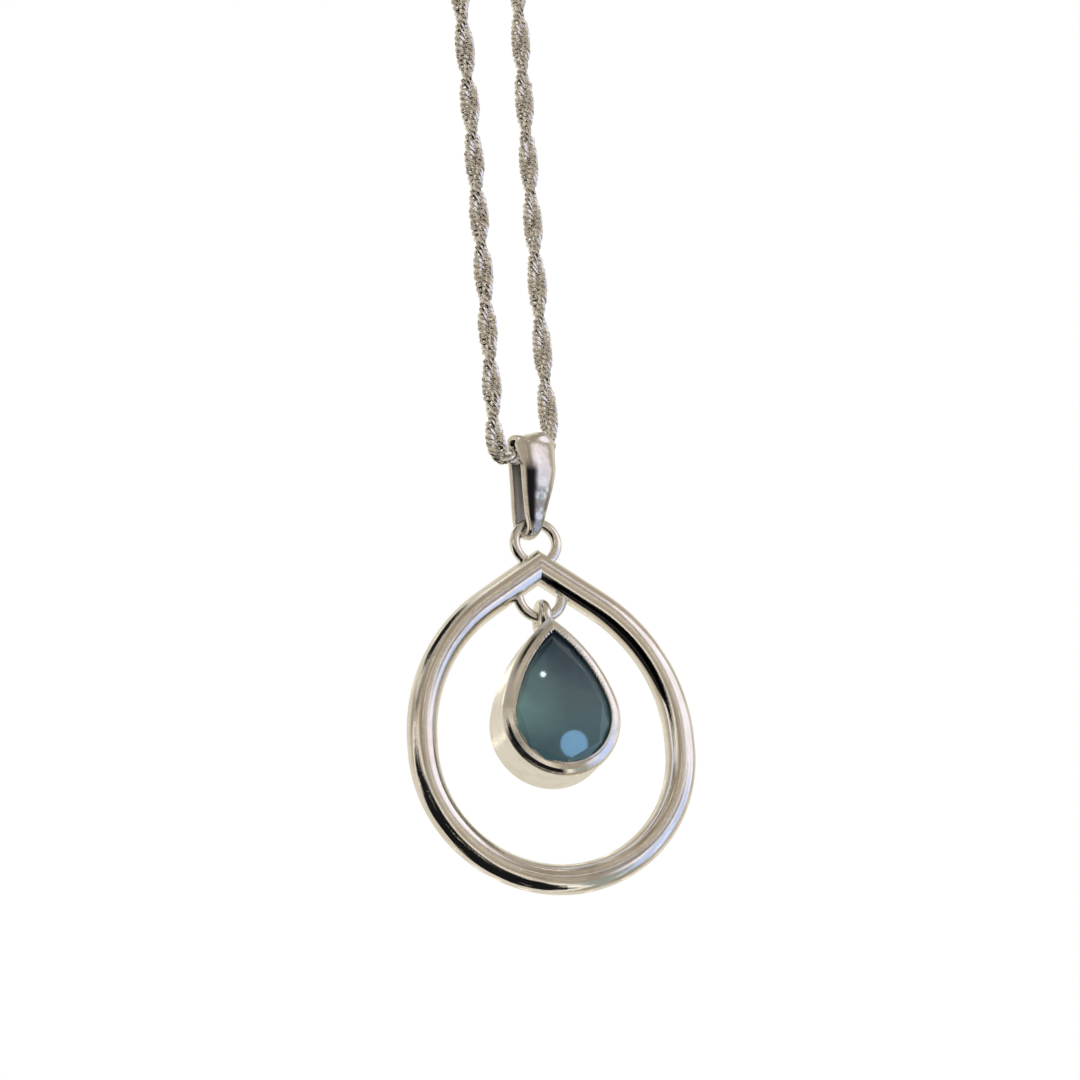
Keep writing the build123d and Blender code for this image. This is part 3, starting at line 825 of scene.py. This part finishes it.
def floor_material():
    """Plain pale paper, which glows a little so that it stays pale in the dim studio."""
    material, tree, main = shader("paper")
    main.inputs["Roughness"].default_value = 0.9
    main.inputs["Emission Color"].default_value = FLOOR_GLOW_COLOUR
    main.inputs["Emission Strength"].default_value = FLOOR_GLOW
    grain = node(tree, "ShaderNodeTexNoise", Scale=60.0, Detail=3.0)
    tint = ramp(tree, grain.outputs["Fac"], ((0.3, (0.86, 0.86, 0.85)), (0.7, (0.9, 0.9, 0.89))))
    tree.links.new(tint, main.inputs["Base Color"])
    return material


def wear(piece, material):
    """Give a piece its one material."""
    piece.data.materials.clear()
    piece.data.materials.append(material)


# ---------------------------------------------------------------- studio

def add_studio():
    """A warm room with soft bright and dark zones to reflect, seen as plain white by the camera."""
    world = bpy.data.worlds.new("studio")
    bpy.context.scene.world = world
    world.use_nodes = True
    tree = world.node_tree
    way = tree.nodes.new("ShaderNodeTexCoord").outputs["Generated"]
    noise = node(tree, "ShaderNodeTexNoise", Vector=way, Scale=4.0, Detail=4.0, Roughness=0.6)
    tones = [(at, tuple(tone * c for c in STUDIO_BASE)) for at, tone in STUDIO_TONES]
    colour = ramp(tree, noise.outputs["Fac"], tones)
    centred = tree.nodes.new("ShaderNodeVectorMath")
    centred.operation = "SUBTRACT"
    tree.links.new(noise.outputs["Color"], centred.inputs[0])
    centred.inputs[1].default_value = (0.5, 0.5, 0.5)
    bent = tree.nodes.new("ShaderNodeVectorMath")
    bent.operation = "MULTIPLY_ADD"
    tree.links.new(centred.outputs["Vector"], bent.inputs[0])
    bent.inputs[1].default_value = (STUDIO_BEND, STUDIO_BEND, STUDIO_BEND)
    tree.links.new(way, bent.inputs[2])
    for direction, inner, outer, shade in ZONES:
        inside = within(tree, bent.outputs["Vector"], direction, inner, outer)
        colour = mixed(tree, inside, colour, shade)
    spots = node(tree, "ShaderNodeTexVoronoi", Vector=way, Scale=5.0)
    lit = node(
        tree, "ShaderNodeMapRange", Value=spots.outputs["Distance"],
        From_Min=SPOT_EDGE, From_Max=SPOT_FULL,
    )
    colour = mixed(tree, lit.outputs["Result"], colour, SPOT_COLOUR)
    path = tree.nodes.new("ShaderNodeLightPath")
    colour = mixed(tree, path.outputs["Is Camera Ray"], colour, (1.0, 1.0, 1.0))
    tree.links.new(colour, tree.nodes["Background"].inputs["Color"])


def add_lamp(name, place, size, watts, colour):
    """A round lamp, aimed at the stone."""
    data = bpy.data.lights.new(name, "AREA")
    data.shape = "DISK"
    data.size = size
    data.energy = watts
    data.color = colour
    lamp = bpy.data.objects.new(name, data)
    bpy.context.scene.collection.objects.link(lamp)
    way = (LAMP_AIM - place).to_track_quat("-Z", "Y").to_matrix().to_4x4()
    lamp.matrix_world = Matrix.Translation(place) @ way


def add_floor():
    """A round sheet of pale paper under the necklace, left out of the metal's reflections."""
    angles = [2 * pi * k / FLOOR_SIDES for k in range(FLOOR_SIDES)]
    points = [(FLOOR_R * cos(a), FLOOR_R * sin(a), FLOOR_Z) for a in angles]
    floor = new_mesh("floor", points, [tuple(range(FLOOR_SIDES))])
    wear(floor, floor_material())
    floor.visible_glossy = False


# ---------------------------------------------------------------- build

add_camera()

metals = {slot: metal(*finish) for slot, finish in METALS.items()}
# A painted dark reflection on the hoop's right side
painted_reflection_band(metals["hoop_silver"], *HOOP_PAINTED_REFLECTION_DARK)
# Painted reflections on the bail's front
finish_bail_with_painted_reflections(metals["bail_silver"])
for slot, names in WORN_BY.items():
    for name in names:
        wear(bpy.data.objects[name], metals[slot])

for strand_name, side, half_turn, phase in STRANDS:
    strand, line = chain_strand(f"chain_{strand_name}_strand", side, half_turn, phase)
    wear(strand, metals["chain_silver"])
    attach(strand, "chain")
    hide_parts(*[f"chain_{strand_name}_{part}" for part in ("leg", "hank", "tail")])

wear(add_bail(), metals["bail_silver"])
wear(add_ribbon(), ribbon_material())
wear(add_stone(), stone_material())
wear(add_rim(), metals["bezel_silver"])

add_studio()
add_floor()
for lamp in LAMPS:
    add_lamp(*lamp)

bpy.context.scene.view_settings.view_transform = "Standard"
